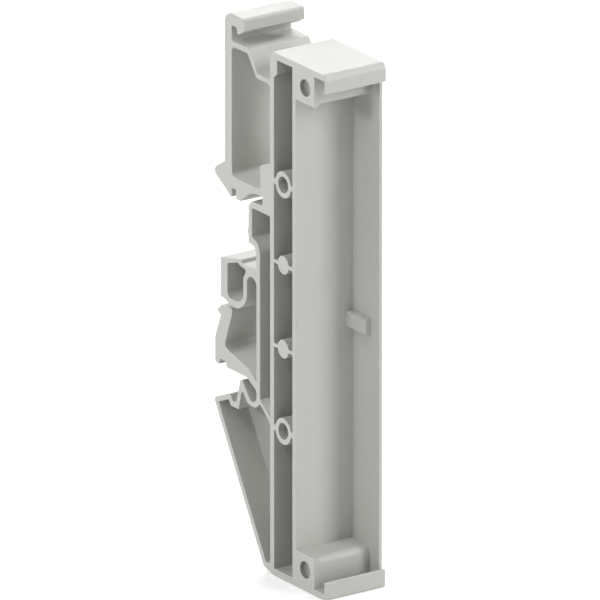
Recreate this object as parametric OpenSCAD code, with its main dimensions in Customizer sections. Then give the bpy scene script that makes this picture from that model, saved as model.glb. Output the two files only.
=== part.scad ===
// Side element of a modular electronics enclosure, moulded in one piece.
// Its frame closes one end of the enclosure and its spring foot snaps on a 35 mm top-hat rail.
// X points out from the rail, Y runs along the rail, Z across it.
// The origin is on the rail's face, midway between the rail's two edges, at the open side.

/* [Rail] */
// Width of the rail over its two flanges
rail_w = 35; // [34:0.1:36]
// Thickness of the rail's flange
rail_t = 1; // [0.8:0.05:1.3]
// Play of the flange in its notch
rail_play = 0.1; // [0.05:0.05:0.3]

/* [Frame] */
// Width of the element along the rail
element_w = 11.25; // [8:0.25:22.5]
// Height of the frame across the rail
frame_h = 85.9; // [84:0.1:90]
// Distance from the rail's face to the frame
frame_off = 9.35; // [8.8:0.05:10.5]
// Thickness of the back wall
back_wall = 1.1; // [0.9:0.05:1.4]
// Depth of the channel that holds the bosses
channel_d = 5; // [4.8:0.1:7]
// Thickness of the wall between the channel and the board recess
mid_wall = 1; // [0.8:0.05:1.4]
// Depth of the corner blocks
block_d = 5; // [4:0.1:8]
// Height of the corner blocks, with the end plate
block_h = 6.05; // [5.6:0.05:9]
// Round at a block's free corner, behind the mouth of the slot
block_r = 1.1; // [0.4:0.1:2]
// Thickness of the end plates
end_plate = 1.15; // [0.9:0.05:1.6]
// Thickness of the closed side
side_plate = 0.6; // [0.5:0.05:1.2]
// How far the closed side stands back from the lips
side_setback = 0.9; // [0.5:0.05:1.2]

/* [Board slots] */
// Width of the slot between a block and its lip
slot_w = 2.75; // [2:0.05:4]
// Thickness of a lip
lip_t = 0.4; // [0.3:0.05:0.8]
// Reach of a lip along the board, with the end plate
lip_h = 3; // [2.2:0.1:4.5]
// Round at the outer edge of a lip
lip_r = 1.1; // [0.4:0.1:1.4]
// How far the end of a slot is cut into the end plate
slot_rise = 0.12; // [0:0.02:0.4]
// Depth of the land at the mouth of a slot
slot_land = 0.85; // [0.6:0.05:2]
// Relief of a slot behind its land
slot_relief = 0.2; // [0.1:0.05:0.35]

/* [Bosses and holes] */
// Height of the middle between the two sockets above the rail's middle
socket_mid = 1.8; // [0:0.1:4]
// Distance between the two sockets
socket_gap = 40.4; // [34:0.1:50]
// Outer diameter of a socket
socket_d = 4.3; // [3.6:0.05:4.6]
// Bore of a socket
socket_bore = 2.65; // [2:0.05:3]
// Thickness of the webs that carry a socket
socket_web = 0.9; // [0.6:0.05:1.4]
// Height of the middle between the two pins above the rail's middle
pin_mid = 2; // [0:0.1:4]
// Distance between the two pins
pin_gap = 13.75; // [8:0.05:20]
// Diameter of a pin
pin_d = 3; // [2.4:0.05:4]
// Thickness of the webs that carry a pin
pin_web = 0.6; // [0.5:0.05:1]
// Diameter of the peg holes in the blocks
peg_hole = 2.75; // [2:0.05:3.2]
// Depth of the peg holes
peg_depth = 0.65; // [0.5:0.05:3]
// Distance of the peg holes from the ends of the frame
peg_in = 3.5; // [3.2:0.05:4.2]
// Height of the stop bar on the closed side
stop_h = 2.5; // [1.5:0.1:5]
// Distance of the stop bar's middle below the rail's middle
stop_low = 0.7; // [-6:0.1:6]
// How far the stop bar stands out from the closed side
stop_proud = 1.2; // [0.6:0.1:3]

/* [Foot] */
// Thickness of the foot's outer wall at the fixed hook
hook_wall = 2; // [1.6:0.05:2.4]
// Height of the top of the latch above the rail's middle
latch_top = 46; // [45:0.1:48]
// Distance from the rail's face to the stem that carries the springs
stem_off = 5.6; // [5.2:0.05:6]
// Thickness of the stem
stem_wall = 1; // [0.8:0.05:1.3]
// Thickness of the spring catch
spring_wall = 0.9; // [0.7:0.05:1]
// Thickness of the slanted wing
wing_wall = 1; // [0.8:0.05:1.3]
// Thickness of the stiffening web inside the wing
wing_web = 1.25; // [0.8:0.05:2]

/* [Hidden] */

// Cuts run this far past the faces they open
overrun = 1;
// Walls run this far into the wall that carries them
join = 0.4;
// Angle that one facet of a rounded corner turns through
facet_angle = 9;
// Part of one side that the roundings at its two ends may take together
side_share = 0.98;

// Places along X, from the rail outwards
flange = rail_t + rail_play;
stem_x = stem_off + stem_wall;
frame_x = frame_off;
channel_x = frame_x + back_wall;
wall_x = channel_x + channel_d;
block_x = wall_x + mid_wall;
slot_x = block_x + block_d;
lip_x = slot_x + slot_w;
front_x = lip_x + lip_t;

// Places along Z, from the rail's middle upwards
half_h = frame_h / 2;
block_z = half_h - block_h;
lip_z = half_h - lip_h;
notch_z = rail_w / 2;
groove_z = -rail_w / 2;
inner_y = element_w - side_plate;

// Chamfer at the frame's upper back corner
corner_x = 0.85;
corner_z = 1.3;
corner_r = 1.1;
// Thickened head of the back wall
head_t = 0.85;
head_h = 2.3;
head_bevel = 0.4;

// Latch at the top of the foot: a slot for a screwdriver over a shelf
latch_out = 2.4;
latch_lip = 2;
latch_tip = 0.9;
latch_step = 0.95;
latch_slot = 1.25;
latch_drop = 1.95;
shelf_gap = 1.55;
shelf_x = 3.65;
shelf_wall = 0.9;
shelf_r = 0.5;
pocket_x = 6.1;
pocket_drop = 4.85;
pocket_wall = 0.8;
pocket_r = 0.8;
shelf_z = latch_top - latch_drop - latch_step - shelf_gap;
pocket_z = half_h - pocket_drop;
edge_r = 0.15;
latch_r = 0.4;

// Fixed hook over the rail's upper edge
hook_tip_x = 6.7;
hook_tip_z = 1.66;
hook_r = 0.94;
hook_root = 3.85;
hook_heel_x = 2.5;
hook_heel_z = 0.75;
hook_toe_x = 1.7;
hook_depth = 1.45;
jaw_w = 1.2;
jaw_depth = 1.55;
jaw_run = 3;
jaw_r = 4.2;
slit_z = 0.85;
slit_h = 1.45;
slit_x = 7.25;
window_z = 1.9;
window_r = 0.5;
heel_x = 6.65;
heel_h = 4;
heel_rise = 1;

// Pad that bears on the rail's face
pad_x = 3.4;
pad_wall = 1;
pad_top = 1.55;
pad_h = 7.1;
pad_bevel = 0.95;
pad_ceiling = 1.1;
pad_floor = 1.2;
pad_floor_slope = 0.4;
pad_r = 0.3;
pad_outer_r = 1.4;
pad_inner_r = 2.3;
nib_drop = 4.1;
nib_h = 0.7;
nib_proud = 0.25;

// Loop that stops the arm
loop_x = 4.25;
loop_wall = 1.9;
loop_top = 5.95;
loop_crown = 0.6;
loop_crown_x = 1.5;
loop_slope = 1.2;
loop_low = 1.2;
loop_belly = 0.75;
loop_belly_w = 2;
loop_right = 3;
loop_right_wall = 1;
loop_belly_x = 1.3;
loop_keel_x = 0.45;
loop_keel_r = 1.5;
loop_bend_r = 3;
loop_gap_top = 4.4;
loop_left_z = 4.82;
loop_peak_x = 0.45;
loop_peak_z = 5.68;
loop_nick_x = 1.55;
loop_nick_z = 5.26;
loop_nub_w = 0.75;
loop_nub_h = 0.4;
loop_neck_z = 3.75;
loop_floor = 0.75;
loop_floor_r = 1.9;
loop_foot_r = 1;

// Release arm with its notch for a screwdriver
arm_x = 5.8;
arm_gap = 0.5;
arm_tip_x = 1.1;
arm_tip_w = 2.9;
arm_bow_z = 3.3;
arm_bow_r = 2;
arm_nose_x = 5.3;
arm_nose_z = 1.2;
arm_neck_x = 4.25;
arm_neck_z = 1.8;
arm_knee_z = 8.2;
arm_heel_x = 3.25;
arm_heel_z = 9.1;
arm_heel_r = 0.8;
arm_bend_r = 1.7;
arm_root_x = 3.6;
arm_root_z = 10.95;
arm_root_end = 12.4;
arm_foot_z = 12.45;
arm_nick_in = 1.2;
arm_nick_w = 1.9;
arm_nick_h = 0.9;
arm_nick_slope = 0.2;
arm_under_x = 3;
arm_under_z = 1.5;
arm_under_r = 0.8;
arm_fillet_r = 1;

// Spring catch under the rail's lower edge, measured from the groove that holds the edge
trough_h = 1.45;
trough_w = 1.6;
trough_r = 1.2;
trough_left_r = 0.9;
trough_wall = 0.8;
crest_x = 1.13;
crest_w = 0.62;
crest_h = 4.15;
crest_r = 0.4;
groove_w = 1;
groove_r = 0.2;
hump_x = 1.6;
hump_h = 1.1;
hump_r = 0.35;
under_crest_x = 1.65;
under_crest_h = 2.75;
under_trough_x = 3.2;
under_trough_w = 2.2;
under_trough_r = 1.7;
under_groove_x = 0.7;
brace_h = 2.5;
brace_drop = 2.15;
brace_peak = 0.2;
brace_wall = 1;

// Slanted wing that leads the module onto the rail
wing_x = 6.2;
wing_drop = 0.84;
wing_r = 0.6;
wing_foot_x = 7.48;
wing_foot_z = 0.8;
wing_toe_x = 10.3;
wing_top_wall = 0.75;
wing_floor = 1.6;

// Unit vector along v
function unit(v) = v / norm(v);

// Place of a corner, without its radius
function place(p) = [p[0], p[1]];

// Half of the angle between the two sides of the corner p, whose neighbours are a and b
function half_angle(a, p, b) =
    acos(max(-1, min(1, unit(place(a) - place(p)) * unit(place(b) - place(p))))) / 2;

// Length that the rounding of the corner p takes from each of its sides, given room
function full_reach(a, p, b) = len(p) < 3 ? 0 : p[2] / tan(half_angle(a, p, b));

// Points of the rounded corner p, from one end of its rounding to the other
function arc(a, p, b, reach) =
    let (
        half_turn = half_angle(a, p, b),
        r = reach * tan(half_turn),
        u = unit(place(a) - place(p)),
        v = unit(place(b) - place(p)),
        mid = place(p) + unit(u + v) * r / sin(half_turn),
        from = place(p) + u * reach - mid,
        to = place(p) + v * reach - mid,
        start = atan2(from[1], from[0]),
        sweep = (atan2(to[1], to[0]) - start + 540) % 360 - 180,
        steps = max(1, ceil(abs(sweep) / facet_angle))
    )
    [for (i = [0:steps]) mid + r * [cos(start + sweep * i / steps), sin(start + sweep * i / steps)]];

// Closed outline through corners given as [x, z] or, where rounded, [x, z, radius]
function rounded(corners) =
    let (
        n = len(corners),
        before = [for (i = [0:n - 1]) corners[(i + n - 1) % n]],
        after = [for (i = [0:n - 1]) corners[(i + 1) % n]],
        reach = [for (i = [0:n - 1]) full_reach(before[i], corners[i], after[i])],
        fitting = [for (i = [0:n - 1])
            let (side = norm(place(after[i]) - place(corners[i])) * side_share)
            side / max(side, reach[i] + reach[(i + 1) % n])]
    )
    [for (i = [0:n - 1])
        each (len(corners[i]) < 3 ? [corners[i]]
            : arc(before[i], corners[i], after[i], reach[i] * min(fitting[i], fitting[(i + n - 1) % n])))];

// Corners mirrored across the rail's middle, in the order that closes the outline
function mirrored(corners) = [for (i = [len(corners) - 1:-1:0])
    len(corners[i]) < 3 ? [corners[i][0], -corners[i][1]]
        : [corners[i][0], -corners[i][1], corners[i][2]]];

// An outline in X and Z drawn out along Y from y0 to y1
module along_rail(y0, y1) {
    translate([0, y1, 0])
        rotate([90, 0, 0])
            linear_extrude(height = y1 - y0)
                children();
}

// A round post along Y
module post(d, x, z, y0, y1) {
    translate([x, y1, z])
        rotate([90, 0, 0])
            cylinder(d = d, h = y1 - y0, $fn = 64);
}

// Outer outline of the frame
function frame_corners() = [
    [wing_toe_x, -half_h],
    [frame_x, wing_floor - half_h],
    [frame_x, half_h - corner_z, corner_r],
    [frame_x + corner_x, half_h],
    [front_x, half_h, lip_r],
    [front_x, -half_h, lip_r]
];

// Upper half of the board recess, from the front to the wall behind it, with the round r at the block
function recess_half(relief, r) = [
    [front_x + overrun, lip_z],
    [lip_x, lip_z],
    [lip_x, half_h - end_plate + slot_rise + relief],
    [slot_x - relief, half_h - end_plate + slot_rise + relief],
    [slot_x - relief, block_z, r],
    [block_x, block_z]
];

// Channel behind the recess, with the thickened head of the back wall
function channel_corners() = [
    [channel_x, end_plate - half_h],
    [channel_x, half_h - end_plate - head_h - head_bevel],
    [channel_x + head_t, half_h - end_plate - head_h],
    [channel_x + head_t, half_h - end_plate],
    [wall_x, half_h - end_plate],
    [wall_x, end_plate - half_h]
];

module recess(relief, r, y0, y1) {
    along_rail(y0, y1)
        polygon(rounded(concat(recess_half(relief, r), mirrored(recess_half(relief, r)))));
}

module frame() {
    difference() {
        along_rail(0, element_w)
            polygon(rounded(frame_corners()));
        along_rail(-overrun, inner_y)
            polygon(channel_corners());
        recess(0, edge_r, -overrun, inner_y);
        recess(slot_relief, block_r, slot_land, inner_y);
        translate([front_x - side_setback, -overrun, -lip_z])
            cube([side_setback + overrun, element_w + 2 * overrun, 2 * lip_z]);
        for (side = [-1, 1])
            post(peg_hole, block_x + block_d / 2, side * (half_h - peg_in), -overrun, peg_depth);
    }
}

// A post in the channel, held by a web to the wall on each side
module boss(z, d, web) {
    post(d, channel_x + channel_d / 2, z, 0, inner_y + side_plate / 2);
    translate([channel_x - back_wall / 2, 0, z - web / 2])
        cube([channel_d + back_wall, inner_y + side_plate / 2, web]);
}

module bosses() {
    for (side = [-1, 1]) {
        difference() {
            boss(socket_mid + side * socket_gap / 2, socket_d, socket_web);
            post(socket_bore, channel_x + channel_d / 2, socket_mid + side * socket_gap / 2,
                -overrun, inner_y);
        }
        boss(pin_mid + side * pin_gap / 2, pin_d, pin_web);
    }
}

// Bar on the closed side that the board's end meets
module stop_bar() {
    translate([block_x - mid_wall / 2, inner_y - stop_proud, -stop_low - stop_h / 2])
        cube([block_d + mid_wall / 2, stop_proud + side_plate / 2, stop_h]);
}

// Latch, shelf and fixed hook, as one outline round the upper window
function hook_corners() = [
    [-flange - hook_wall, notch_z + hook_root, latch_r],
    [-flange - hook_wall, latch_top, hook_wall],
    [latch_out, latch_top, latch_r],
    [latch_out, latch_top - latch_lip, edge_r],
    [latch_tip, shelf_z + shelf_gap, edge_r],
    [latch_tip - latch_step / 2, shelf_z + shelf_gap, edge_r],
    [latch_slot - flange, latch_top - latch_drop, edge_r],
    [-flange, latch_top - latch_drop, edge_r],
    [-flange, shelf_z, edge_r],
    [shelf_x, shelf_z, shelf_r],
    [pocket_x, pocket_z, pocket_r],
    [frame_x + join, pocket_z],
    [frame_x + join, notch_z + slit_z],
    [jaw_w + jaw_run, notch_z + slit_z, jaw_r],
    [jaw_w, notch_z - jaw_depth, latch_r],
    [0, notch_z - jaw_depth, edge_r],
    [0, notch_z, edge_r],
    [-flange, notch_z, edge_r],
    [-flange, notch_z - hook_depth, edge_r],
    [-hook_toe_x, notch_z - hook_depth, latch_r],
    [-hook_heel_x, notch_z - hook_heel_z, latch_r],
    [-hook_tip_x, notch_z + hook_tip_z, hook_r]
];

// Window under the shelf, with the heel that stiffens its foot
function window_corners() = [
    [-flange, notch_z + window_z, window_r],
    [-flange, shelf_z - shelf_wall, pocket_r],
    [shelf_x - shelf_wall / 2, shelf_z - shelf_wall, shelf_r],
    [pocket_x - pocket_wall / 2, pocket_z - pocket_wall, pocket_r],
    [frame_x, pocket_z - pocket_wall, pocket_r],
    [frame_x, notch_z + window_z + heel_h + heel_rise, window_r],
    [heel_x, notch_z + window_z + heel_h, pocket_r],
    [heel_x, notch_z + window_z, edge_r]
];

module fixed_hook() {
    difference() {
        polygon(rounded(hook_corners()));
        polygon(rounded(window_corners()));
    }
}

// Pad and stem, round the opening that runs down to the brace
function pad_corners() = [
    [frame_x + join, notch_z + slit_z + join],
    [slit_x, notch_z + slit_z + join],
    [slit_x, notch_z + slit_z - slit_h, pad_r],
    [pad_x + pad_bevel, notch_z + slit_z - slit_h, pad_r],
    [pad_x, notch_z - pad_top, pad_r],
    [pad_x, notch_z - pad_top - nib_drop + nib_h, nib_h],
    [pad_x - nib_proud, notch_z - pad_top - nib_drop, nib_h],
    [pad_x, notch_z - pad_top - nib_drop - nib_h, nib_h],
    [pad_x, notch_z - pad_top - pad_h + pad_bevel, pad_r],
    [stem_off, notch_z - pad_top - pad_h + pad_bevel, pad_outer_r],
    [stem_off, groove_z + brace_h],
    [stem_x, groove_z + brace_h],
    [frame_x + join, groove_z + brace_h]
];

function pad_window_corners() = [
    [pad_x + pad_wall, notch_z + slit_z - slit_h - pad_ceiling, pad_r],
    [frame_x, notch_z + slit_z - slit_h - pad_ceiling, pad_r],
    [frame_x, groove_z - join],
    [stem_x, groove_z - join],
    [stem_x, notch_z - pad_top - pad_h + pad_bevel + pad_floor - pad_floor_slope, pad_inner_r],
    [pad_x + pad_wall, notch_z - pad_top - pad_h + pad_bevel + pad_floor, pad_r]
];

module pad_and_stem() {
    difference() {
        polygon(rounded(pad_corners()));
        polygon(rounded(pad_window_corners()));
    }
}

// Closed loop on the stem, over the free end of the arm
function loop_corners() = [
    [stem_off + join, loop_top],
    [loop_crown_x + edge_r, loop_top, edge_r],
    [loop_crown_x, loop_top + loop_crown, latch_r],
    [-loop_x, loop_top + loop_crown - loop_slope, latch_r],
    [-loop_x, -loop_low, pad_r],
    [-loop_belly_x - loop_belly_w, -loop_low, pocket_r],
    [-loop_belly_x, -loop_low - loop_belly, pocket_r],
    [loop_keel_x, -loop_low - loop_belly, loop_keel_r],
    [loop_right, -loop_low + loop_belly, loop_bend_r],
    [loop_right, loop_gap_top, (stem_off - loop_right) / 2],
    [stem_off, loop_gap_top, (stem_off - loop_right) / 2],
    [stem_off, 0],
    [stem_off + join, 0]
];

function loop_window_corners() = [
    [loop_wall - loop_x, loop_left_z, edge_r],
    [loop_peak_x, loop_peak_z, pad_r],
    [loop_nick_x, loop_nick_z, pad_r],
    [loop_right - loop_right_wall + loop_nub_w / 3, loop_nick_z, pad_r],
    [loop_right - loop_right_wall + loop_nub_w, loop_nick_z - loop_nub_h, latch_r],
    [loop_right - loop_right_wall, loop_neck_z, shelf_r],
    [loop_right - loop_right_wall, -loop_floor, loop_floor_r],
    [loop_wall - loop_x, -loop_floor, loop_foot_r]
];

module stop_loop() {
    difference() {
        polygon(rounded(loop_corners()));
        polygon(rounded(loop_window_corners()));
    }
}

// Release arm: it bends at the stem and carries the notch at its foot
function arm_corners() = [
    [-arm_tip_x, -loop_low - loop_belly - arm_gap, edge_r],
    [-arm_tip_x - arm_tip_w, -loop_low - loop_belly - arm_gap, shelf_r],
    [-arm_nose_x, -loop_low - loop_belly - arm_gap - arm_nose_z, edge_r],
    [-arm_neck_x, -loop_low - loop_belly - arm_gap - arm_neck_z, edge_r],
    [-arm_x, -arm_knee_z, pocket_r],
    [-arm_x, -arm_foot_z, pad_r],
    [-arm_x + arm_nick_in, -arm_foot_z],
    [-arm_x + arm_nick_in + arm_nick_slope, -arm_foot_z + arm_nick_h],
    [-arm_x + arm_nick_in + arm_nick_w - arm_nick_slope, -arm_foot_z + arm_nick_h],
    [-arm_x + arm_nick_in + arm_nick_w, -arm_foot_z],
    [arm_under_x, -arm_foot_z, arm_under_r],
    [stem_off, -arm_foot_z - arm_under_z, arm_fillet_r],
    [stem_off, -arm_foot_z - arm_under_z - arm_fillet_r],
    [stem_off + join, -arm_foot_z - arm_under_z - arm_fillet_r],
    [stem_off + join, -arm_root_end],
    [stem_off, -arm_root_end],
    [arm_root_x, -arm_root_z, arm_bend_r],
    [-arm_heel_x, -arm_heel_z, arm_heel_r],
    [-arm_tip_x, -arm_bow_z, arm_bow_r]
];

// Spring catch and wing, as one outline round the wing's window
function catch_corners() = [
    [frame_x + join, groove_z + brace_h - brace_drop - join],
    [stem_x, groove_z + brace_h],
    [stem_x, groove_z + crest_h],
    [stem_off, groove_z + crest_h],
    [stem_off, groove_z + trough_h, trough_r],
    [stem_off - trough_w, groove_z + trough_h, trough_left_r],
    [crest_x + crest_w, groove_z + crest_h, crest_r],
    [crest_x, groove_z + crest_h, crest_r],
    [0, groove_z, groove_r],
    [-groove_w, groove_z, groove_r],
    [-hump_x, groove_z + hump_h, hump_r],
    [-wing_x, groove_z - wing_drop, wing_r],
    [wing_foot_x, -half_h + wing_foot_z, wing_r],
    [wing_toe_x, -half_h, wing_r],
    [channel_x, -half_h]
];

function wing_slope() = unit([wing_foot_x + wing_x, -half_h + wing_foot_z - groove_z + wing_drop]);

// A point on the inside face of the slanted wall, at the height z
function inside_wing(z) =
    [-wing_x + (z - groove_z + wing_drop) * wing_slope()[0] / wing_slope()[1]
        - wing_wall / wing_slope()[1], z];

function wing_window_corners() = [
    [frame_x, groove_z + brace_h - brace_drop - brace_wall],
    [stem_x, groove_z + brace_h - brace_wall + brace_peak, edge_r],
    [under_trough_x + under_trough_w, groove_z + trough_h - trough_wall, under_trough_r],
    [under_trough_x, groove_z + trough_h - trough_wall, under_trough_r],
    [under_crest_x, groove_z + under_crest_h, latch_r],
    [under_groove_x, groove_z - spring_wall, pad_r],
    [-groove_w - groove_w / 2, groove_z - spring_wall, pad_r],
    [-hump_x - spring_wall / 2, groove_z, pad_r],
    concat(inside_wing(groove_z - wing_drop - wing_top_wall / 2), [edge_r]),
    concat(inside_wing(wing_floor - half_h), [pad_r]),
    [frame_x, wing_floor - half_h, window_r]
];

module catch_and_wing() {
    difference() {
        polygon(rounded(catch_corners()));
        polygon(rounded(wing_window_corners()));
    }
}

// Web across the middle of the wing, which leaves the spring free
module wing_rib() {
    along_rail((element_w - wing_web) / 2, (element_w + wing_web) / 2)
        polygon([
            [-groove_w, groove_z - spring_wall],
            inside_wing(groove_z - wing_drop - wing_top_wall / 2) - [wing_wall / 2, 0],
            inside_wing(wing_floor - half_h) - [wing_wall / 2, wing_wall / 2],
            [frame_x + join, wing_floor - half_h - wing_wall / 2],
            [frame_x + join, groove_z - spring_wall]
        ]);
}

module foot() {
    along_rail(0, element_w) {
        fixed_hook();
        pad_and_stem();
        stop_loop();
        polygon(rounded(arm_corners()));
        catch_and_wing();
    }
    wing_rib();
}

module side_element() {
    color([0.78, 0.78, 0.76]) {
        frame();
        bosses();
        stop_bar();
        foot();
    }
}

side_element();
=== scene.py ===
import math

import bmesh
import bpy
from mathutils import Matrix, Vector


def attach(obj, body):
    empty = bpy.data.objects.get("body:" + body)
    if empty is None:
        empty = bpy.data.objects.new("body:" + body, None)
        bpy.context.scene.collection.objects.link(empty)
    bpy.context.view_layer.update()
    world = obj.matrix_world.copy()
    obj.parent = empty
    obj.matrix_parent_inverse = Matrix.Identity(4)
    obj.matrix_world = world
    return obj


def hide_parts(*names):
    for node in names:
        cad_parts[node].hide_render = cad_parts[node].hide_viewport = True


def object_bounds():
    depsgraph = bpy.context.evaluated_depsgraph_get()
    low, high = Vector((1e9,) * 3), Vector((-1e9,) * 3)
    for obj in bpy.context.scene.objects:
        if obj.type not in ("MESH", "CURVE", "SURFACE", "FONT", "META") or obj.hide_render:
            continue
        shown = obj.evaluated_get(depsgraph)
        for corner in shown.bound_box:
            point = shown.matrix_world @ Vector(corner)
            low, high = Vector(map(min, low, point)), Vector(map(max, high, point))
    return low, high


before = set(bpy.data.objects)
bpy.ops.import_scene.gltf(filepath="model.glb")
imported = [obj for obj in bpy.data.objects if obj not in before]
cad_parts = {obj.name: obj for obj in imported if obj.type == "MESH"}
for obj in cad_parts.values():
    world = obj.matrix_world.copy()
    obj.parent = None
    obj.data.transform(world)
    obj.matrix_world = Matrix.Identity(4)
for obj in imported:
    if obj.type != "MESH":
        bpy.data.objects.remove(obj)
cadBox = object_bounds()
print("frame loaded:", sorted(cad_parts))

mm = 0.001


# ---- node trees ----

# one output of a node; a sum written with it adds the Math node for it
class Wire:
    def __init__(self, tree, socket):
        self.tree = tree
        self.socket = socket

    def math(self, operation, first, second):
        return self.tree.node("ShaderNodeMath", {"operation": operation},
                              {0: first, 1: second})

    def __add__(self, other):
        return self.math("ADD", self, other)

    def __radd__(self, other):
        return self.math("ADD", other, self)

    def __sub__(self, other):
        return self.math("SUBTRACT", self, other)

    def __rsub__(self, other):
        return self.math("SUBTRACT", other, self)

    def __mul__(self, other):
        return self.math("MULTIPLY", self, other)

    def __rmul__(self, other):
        return self.math("MULTIPLY", other, self)


class Tree:
    def __init__(self, owner):
        owner.use_nodes = True
        self.nodes = owner.node_tree.nodes
        self.links = owner.node_tree.links
        self.nodes.clear()

    # any node: its settings first, then the values or wires of its sockets
    def node(self, kind, settings=None, sockets=None, output=0):
        made = self.nodes.new(kind)
        for name, value in (settings or {}).items():
            setattr(made, name, value)
        for name, value in (sockets or {}).items():
            if isinstance(value, Wire):
                self.links.new(value.socket, made.inputs[name])
            else:
                made.inputs[name].default_value = value
        return Wire(self, made.outputs[output]) if made.outputs else made

    def mixColour(self, share, first, second, blend="MIX"):
        settings = {"data_type": "RGBA", "blend_type": blend, "clamp_factor": True}
        return self.node("ShaderNodeMix", settings, {0: share, 6: first, 7: second}, 2)


# ---- moulded plastic ----

plastic = {
    "colour": (0.512, 0.512, 0.486, 1),
    "cloudColour": (0.492, 0.491, 0.464, 1),
    "edgeWearAndHighlightColour": (0.550, 0.551, 0.527, 1),
    "cloudSize": 9 * mm,
    "speckSize": 0.35 * mm,
    "speckDepth": 0.05,
    "grainSize": 0.14 * mm,
    "grainHeight": 0.006 * mm,
    "waveSize": 4 * mm,
    "waveHeight": 0.02 * mm,
    "roughness": 0.52,
    "roughnessSpread": 0.10,
    "refraction": 1.5,
    # what a round edge has of the lighter edge colour, partly wear and partly a painted
    # highlight, and how much smoother it is
    "edgeWearAndHighlightShare": 0.5,
    "edgePolish": 0.06,
    # how much darker the colour is painted in the peg holes and under the channel's head, a
    # painted shade
    "paintedShadeDepth": 0.4,
}


def mouldedPlastic(name, look):
    material = bpy.data.materials.new(name)
    tree = Tree(material)
    place = tree.node("ShaderNodeTexCoord", output=3)
    edge = tree.node("ShaderNodeAttribute", {"attribute_name": "edgeWearAndHighlight"}, output=2)
    # mask of the spots where shade is painted into the colour
    paintedShadeMask = tree.node("ShaderNodeAttribute", {"attribute_name": "paintedShadeMask"}, output=2)

    def noise(size, detail):
        sockets = {"Vector": place, "Scale": 1 / size, "Detail": detail, "Roughness": 0.5}
        return tree.node("ShaderNodeTexNoise", {}, sockets)

    cloud = noise(look["cloudSize"], 3)
    speck = noise(look["speckSize"], 2)
    grain = noise(look["grainSize"], 2)
    wave = noise(look["waveSize"], 1)

    colour = tree.mixColour(cloud, look["colour"], look["cloudColour"])
    # round edges are lighter in colour: partly wear, partly a painted highlight
    colour = tree.mixColour(edge * look["edgeWearAndHighlightShare"], colour, look["edgeWearAndHighlightColour"])
    # the colour is darkened by random specks and by painted shade in the marked spots
    shade = (1 - speck * look["speckDepth"]) * (1 - paintedShadeMask * look["paintedShadeDepth"])
    shades = tree.node("ShaderNodeCombineXYZ", {}, {0: shade, 1: shade, 2: shade})
    colour = tree.mixColour(1.0, colour, shades, "MULTIPLY")

    unevenness = (speck + cloud - 1) * look["roughnessSpread"]
    roughness = look["roughness"] + unevenness - edge * look["edgePolish"]
    height = grain * look["grainHeight"] + wave * look["waveHeight"]
    bump = tree.node("ShaderNodeBump", {},
                     {"Strength": 1.0, "Distance": 1.0, "Height": height})
    skin = tree.node("ShaderNodeBsdfPrincipled", {}, {
        "Base Color": colour,
        "Roughness": roughness,
        "IOR": look["refraction"],
        "Normal": bump,
    })
    tree.node("ShaderNodeOutputMaterial", {}, {"Surface": skin})
    return material


# ---- the moulding ----

moulding = {
    "node": "side_element",
    "slot": "housing_plastic",
    # points nearer than this are one, and faces bent by fewer degrees are one
    "mergeGap": 0.0005 * mm,
    "flatAngle": 0.4,
    # an edge that turns by more degrees is rounded if it is outside, and sharp if it is inside
    "sharpAngle": 25,
    "rounds": [
        # a corner's x and z, the way to the middle of its round, its radius in the CAD and here
        (-1.1 * mm, 19.4 * mm, 1, 1, 0.5 * mm, 0.9 * mm),
        (24.6 * mm, -42.95 * mm, -1, 1, 1.1 * mm, 0.5 * mm),
    ],
    "roundSlack": 1.01,
    # x and z of the lower edge of the slope under the channel's head, and how far it goes down
    "headStep": (10.45 * mm, 39.1 * mm),
    "headStepDrop": 0.3 * mm,
    "paintedShadeSpots": [
        # painted shade in the two peg holes and on the slope under the channel's head: x, z,
        # reach, depth, shade
        (18.95 * mm, 39.45 * mm, 1.39 * mm, 0.65 * mm, 1.0),
        (18.95 * mm, -39.45 * mm, 1.39 * mm, 0.65 * mm, 1.0),
        (10.88 * mm, 39.15 * mm, 0.3 * mm, 11.25 * mm, 0.9),
    ],
    "nearness": 0.02 * mm,
    "edgeRound": 0.08 * mm,
    "edgeSegments": 2,
}


# marks the faces of each spot where shade is painted into the colour
def markPaintedShade(bm, shape):
    paintedShadeMask = bm.faces.layers.float.new("paintedShadeMask")
    marked = 0
    for face in bm.faces:
        middle = face.calc_center_median()
        for x, z, reach, depth, shade in shape["paintedShadeSpots"]:
            inside = shape["nearness"] < middle.y < depth + shape["nearness"]
            if inside and math.hypot(middle.x - x, middle.z - z) < reach:
                face[paintedShadeMask] = shade
                marked += 1
    print("hollows marked:", marked, "faces")


# pulls the points of a round away from its corner, or back towards it
def changeRound(bm, shape, x, z, inX, inZ, oldRadius, newRadius):
    corner = Vector((x, z))
    middle = Vector((x + inX * oldRadius, z + inZ * oldRadius))
    points = []
    for vert in bm.verts:
        place = Vector((vert.co.x, vert.co.z))
        offRound = abs((place - middle).length - oldRadius)
        offCorner = (place - corner).length
        if offRound < shape["nearness"] and offCorner < oldRadius * shape["roundSlack"]:
            points.append(vert)
    size = newRadius / oldRadius
    bmesh.ops.scale(bm, verts=points, vec=(size, 1, size),
                    space=Matrix.Translation((-x, 0, -z)))
    print("round changed:", len(points), "points")


# moves the lower edge of the slope under the channel's head down
def dropHeadStep(bm, shape):
    x, z = shape["headStep"]
    points = [vert for vert in bm.verts
              if math.hypot(vert.co.x - x, vert.co.z - z) < shape["nearness"]]
    bmesh.ops.translate(bm, verts=points, vec=(0, 0, -shape["headStepDrop"]))
    print("head step dropped:", len(points), "points")


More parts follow.
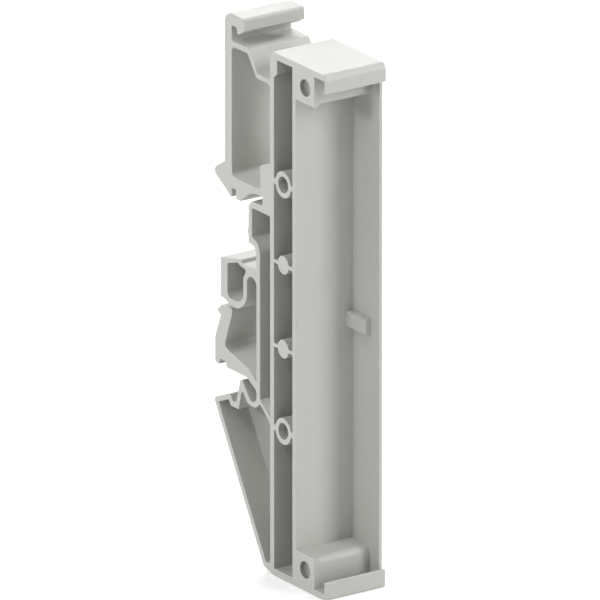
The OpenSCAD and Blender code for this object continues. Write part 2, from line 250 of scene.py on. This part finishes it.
# the CAD solid again, in one skin, with round outer edges and even normals
def roundedCopy(shape):
    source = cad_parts[shape["node"]]
    bm = bmesh.new()
    bm.from_mesh(source.data)
    bmesh.ops.remove_doubles(bm, verts=bm.verts, dist=shape["mergeGap"])
    bmesh.ops.dissolve_limit(bm, verts=bm.verts, edges=bm.edges,
                             angle_limit=math.radians(shape["flatAngle"]))
    print("merged:", len(bm.verts), "points,", len(bm.faces), "faces")
    for corner in shape["rounds"]:
        changeRound(bm, shape, *corner)
    dropHeadStep(bm, shape)
    markPaintedShade(bm, shape)

    # marks the faces of the new rounds, whose lighter colour is partly wear and partly a
    # painted highlight
    wearAndHighlightMask = bm.faces.layers.float.new("edgeWearAndHighlight")
    sharp = math.radians(shape["sharpAngle"])
    outerEdges = []
    for edge in bm.edges:
        turn = edge.calc_face_angle_signed(0)
        edge.smooth = turn > -sharp
        if turn > sharp:
            outerEdges.append(edge)
    rounds = bmesh.ops.bevel(bm, geom=outerEdges, offset=shape["edgeRound"],
                             segments=shape["edgeSegments"], profile=0.5,
                             affect="EDGES", clamp_overlap=False, material=-1)
    for face in rounds["faces"]:
        face[wearAndHighlightMask] = 1
    for face in bm.faces:
        face.smooth = True
    # where two rounds meet in an inside corner, their mitre is sharp like the corner itself
    mitres = [edge for edge in bm.edges
              if edge.smooth and edge.calc_face_angle_signed(0) < -sharp]
    for edge in mitres:
        edge.smooth = False
    print("mitres kept sharp:", len(mitres))
    print("rounded:", len(outerEdges), "edges,", len(bm.faces), "faces")
    mesh = bpy.data.meshes.new("sideElement")
    bm.to_mesh(mesh)
    bm.free()
    made = bpy.data.objects.new("sideElementMoulding", mesh)
    bpy.context.scene.collection.objects.link(made)
    normals = made.modifiers.new("evenNormals", "WEIGHTED_NORMAL")
    normals.keep_sharp = True
    return made


body = roundedCopy(moulding)
body.data.materials.append(mouldedPlastic("greyMouldedPlastic", plastic))
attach(body, "root")
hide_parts(moulding["node"])
print("moulding made")


# ---- floor, light and camera ----

studio = {
    "floorSize": 6,
    "floorColour": (0.80, 0.80, 0.80, 1),
    "floorGlow": 0.37,
    "worldColour": (1, 1, 1, 1),
    "lampDistance": 1.2,
    "lamps": {
        # name: degrees round from the open side, degrees up, width in metres, power in watts
        "leftLamp": (300, 10, 0.45, 7.4),
        "backLeftLamp": (240, 35, 0.45, 6.5),
        "backLamp": (180, 30, 0.2, 8.38),
        "backRightLamp": (120, 35, 0.45, 4.29),
        "lowBackRightLamp": (120, 10, 0.45, 3.70),
        "rightLamp": (90, 35, 0.45, 1.35),
        "highRightLamp": (30, 48, 0.2, 2.24),
        "frontLamp": (0, 22, 0.2, 3.38),
        "highFrontLamp": (0, 70, 0.2, 1.95),
    },
    "target": (15.65 * mm, 1.33 * mm, 3.71 * mm),
    "azimuth": 55.57,
    "elevation": 19.42,
    "viewWidth": 92.66 * mm,
    "lens": 1200,
    "sensor": 36,
    # where the camera's view begins and ends, in its distances from the target
    "clips": (0.1, 4),
}


# 1 for the rays that see the background, straight, mirrored or through glass
def seenRays(tree):
    path = tree.node("ShaderNodeLightPath")
    glossy = Wire(tree, path.socket.node.outputs["Is Glossy Ray"])
    through = Wire(tree, path.socket.node.outputs["Is Transmission Ray"])
    return path + glossy + through


# floor at the height of the object's lower end
def makeFloor(look):
    low = cadBox[0]
    bm = bmesh.new()
    bmesh.ops.create_grid(bm, x_segments=1, y_segments=1, size=look["floorSize"] / 2)
    bmesh.ops.translate(bm, verts=bm.verts, vec=(0, 0, low.z))
    mesh = bpy.data.meshes.new("floor")
    bm.to_mesh(mesh)
    bm.free()
    floor = bpy.data.objects.new("floor", mesh)
    bpy.context.scene.collection.objects.link(floor)
    material = bpy.data.materials.new("paleFloor")
    tree = Tree(material)
    paint = tree.node("ShaderNodeBsdfDiffuse", {}, {"Color": look["floorColour"]})
    strength = seenRays(tree) * look["floorGlow"]
    glow = tree.node("ShaderNodeEmission", {}, {"Strength": strength})
    lit = tree.node("ShaderNodeAddShader", {}, {0: paint, 1: glow})
    tree.node("ShaderNodeOutputMaterial", {}, {"Surface": lit})
    mesh.materials.append(material)


# a world that is seen as white and gives no light of its own
def makeWorld(look):
    world = bpy.data.worlds.new("studio")
    bpy.context.scene.world = world
    tree = Tree(world)
    white = tree.node("ShaderNodeBackground", {},
                      {"Color": look["worldColour"], "Strength": seenRays(tree)})
    tree.node("ShaderNodeOutputWorld", {}, {"Surface": white})


# the way to a camera or lamp: 0 degrees round is at the open side, 90 at the lips
def towards(about, up):
    turn, lift = math.radians(about), math.radians(up)
    return Vector((math.sin(turn) * math.cos(lift), -math.cos(turn) * math.cos(lift),
                   math.sin(lift)))


def makeLamps(look):
    for name, (about, up, size, power) in look["lamps"].items():
        place = towards(about, up) * look["lampDistance"]
        data = bpy.data.lights.new(name, "AREA")
        data.shape = "SQUARE"
        data.size = size
        data.energy = power
        lamp = bpy.data.objects.new(name, data)
        bpy.context.scene.collection.objects.link(lamp)
        lamp.location = place
        lamp.rotation_euler = place.to_track_quat("Z", "Y").to_euler()
        lamp.visible_camera = False


def makeCamera(look):
    back = towards(look["azimuth"], look["elevation"])
    distance = look["viewWidth"] * look["lens"] / look["sensor"]
    data = bpy.data.cameras.new("camera")
    data.lens = look["lens"]
    data.sensor_width = look["sensor"]
    data.clip_start, data.clip_end = (distance * clip for clip in look["clips"])
    camera = bpy.data.objects.new("camera", data)
    bpy.context.scene.collection.objects.link(camera)
    camera.location = Vector(look["target"]) + back * distance
    camera.rotation_euler = back.to_track_quat("Z", "Y").to_euler()
    bpy.context.scene.camera = camera


makeFloor(studio)
makeWorld(studio)
makeLamps(studio)
makeCamera(studio)
bpy.context.scene.view_settings.view_transform = "Standard"
print("studio made")
